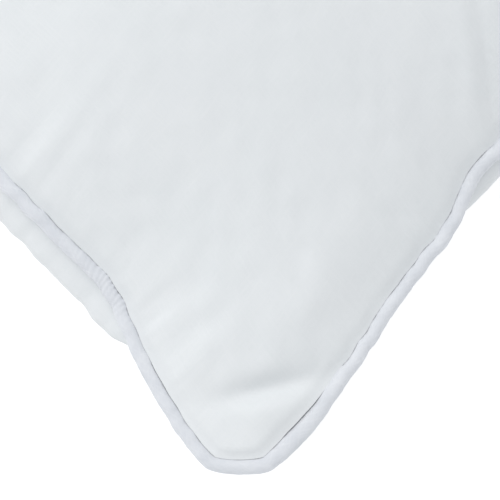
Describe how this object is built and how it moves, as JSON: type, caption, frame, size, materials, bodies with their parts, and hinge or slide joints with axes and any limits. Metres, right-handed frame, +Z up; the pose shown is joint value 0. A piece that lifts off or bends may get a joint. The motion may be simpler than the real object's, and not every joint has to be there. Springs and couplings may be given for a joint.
{
  "type": "bed pillow",
  "caption": "Rectangular filled bed pillow with a white cotton casing, a corded piped edge and a blank label at one end.",
  "frame": {"origin": "on the resting face, under the centre of the pillow", "axes": "+X along the pillow's length, +Y across its width, +Z up from the resting face through the crown"},
  "size_m": [0.6394, 0.4916, 0.1573],
  "materials": {
    "casing": "fine plain-woven cotton cambric, matt, white with a cool cast",
    "piping": "the same cotton cut on the bias, drawn round the cord with small puckers",
    "cord": "soft three-ply cotton twine",
    "thread": "white spun polyester sewing thread",
    "fill": "loose white down and small feathers",
    "label": "blank woven satin ribbon"
  },
  "bodies": {
    "pillow": {"top_panel": "casing", "bottom_panel": "casing", "piping_cover": "piping", "piping_cord": "cord", "needle_thread": "thread", "bobbin_thread": "thread", "overlock_thread": "thread", "closing_thread": "thread", "fill": "fill"},
    "label": {"care_label": "label"}
  },
  "joints": [
    {"name": "label_flip", "type": "hinge", "parent": "pillow", "child": "label", "pos_m": [-0.303, 0, 0.07025], "axis": [0, 1, 0], "range_deg": [0, 75]}
  ]
}
